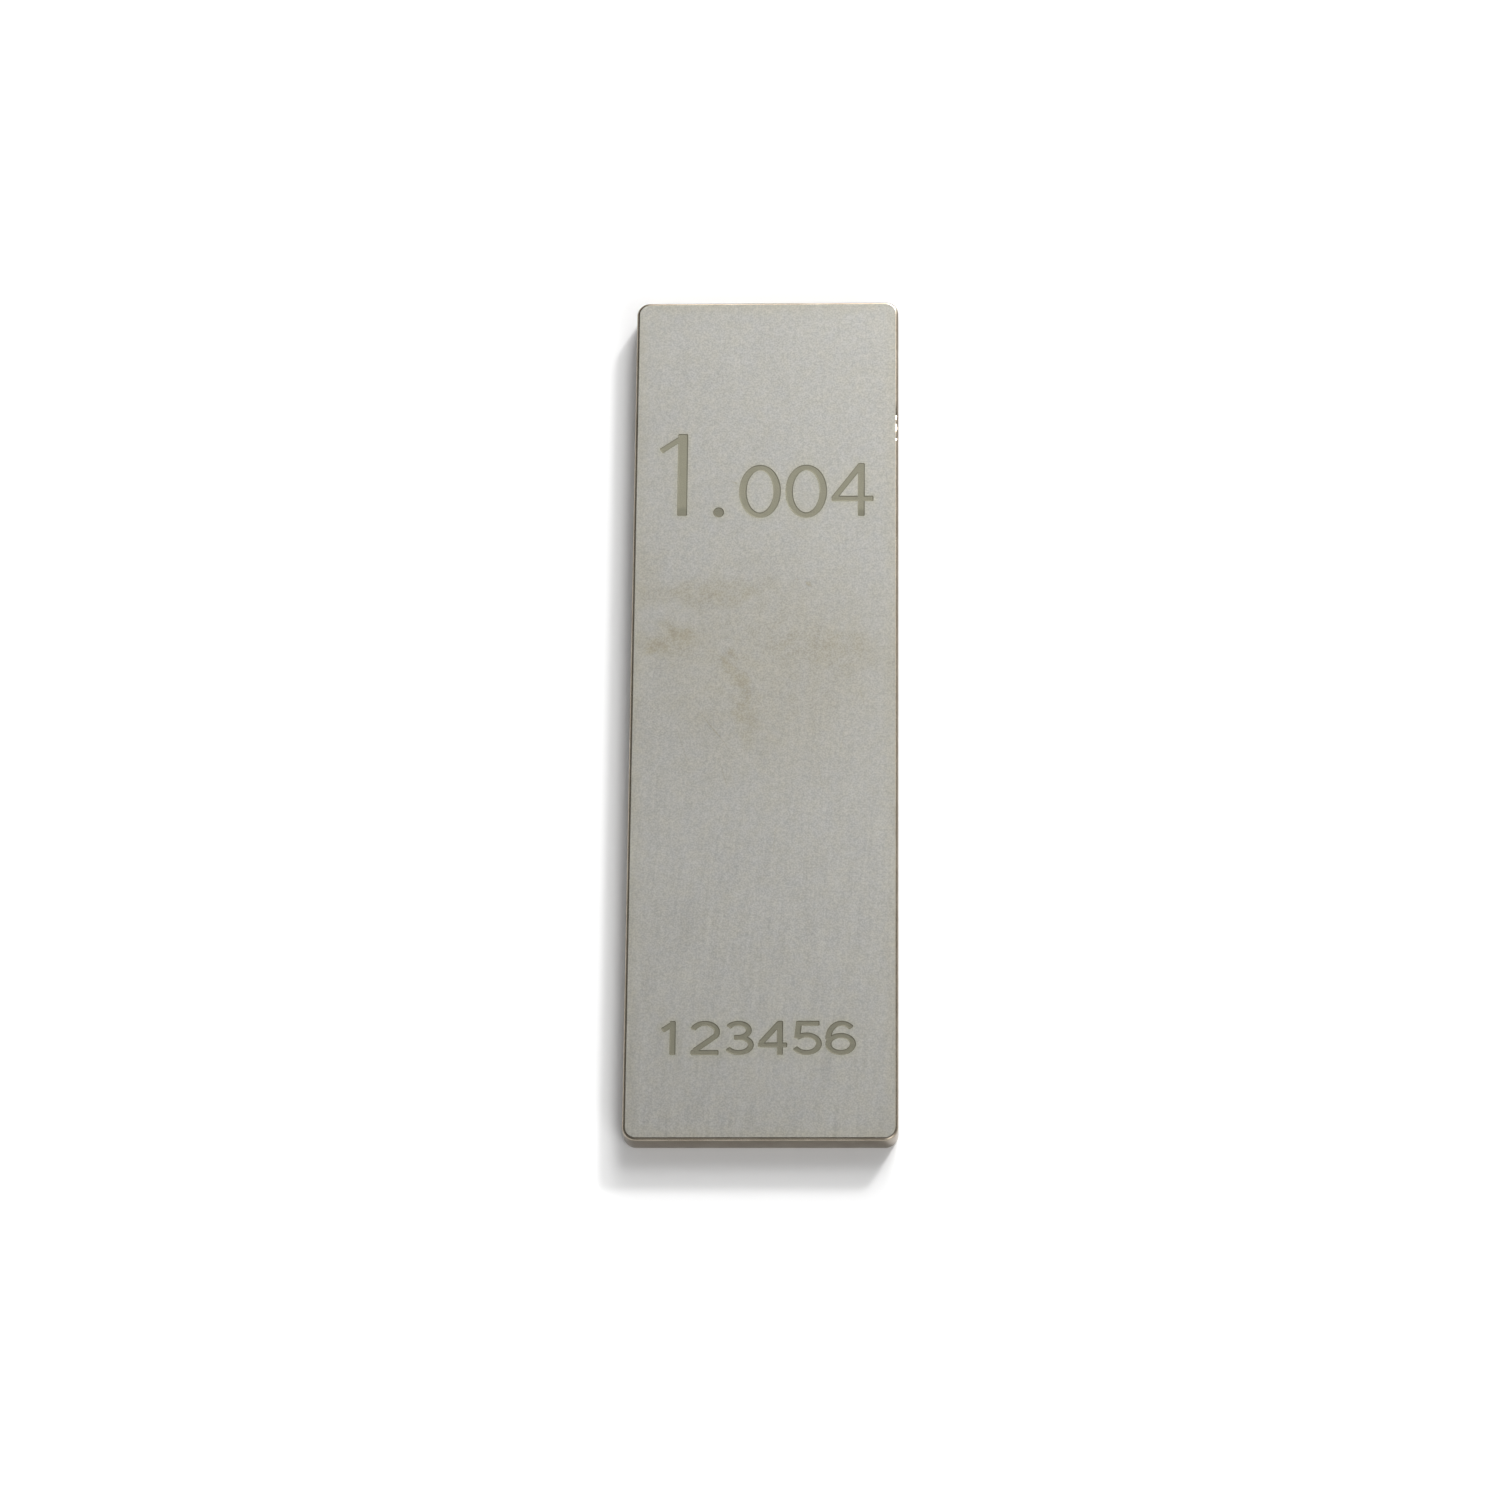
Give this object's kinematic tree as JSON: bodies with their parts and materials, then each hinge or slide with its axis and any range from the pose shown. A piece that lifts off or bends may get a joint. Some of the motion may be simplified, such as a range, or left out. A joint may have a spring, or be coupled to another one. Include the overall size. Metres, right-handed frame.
{
  "type": "gauge block",
  "caption": "Thin rectangular steel gauge block with flat, parallel measuring faces and finely rounded edges, wrung to other blocks to build up an exact length.",
  "frame": {"origin": "centre of the lower measuring face, which the block rests on", "axes": "+Z along the measuring direction, from the lower to the upper measuring face; +Y along the 30 mm side, towards the end where the size is marked; +X across the 9 mm side"},
  "size_m": [0.009, 0.03, 0.001],
  "materials": {
    "lapped_steel": "lapped and ground hardened steel, satin, with light brown storage stains"
  },
  "bodies": {
    "root": {"gauge_block": "lapped_steel"}
  },
  "joints": []
}
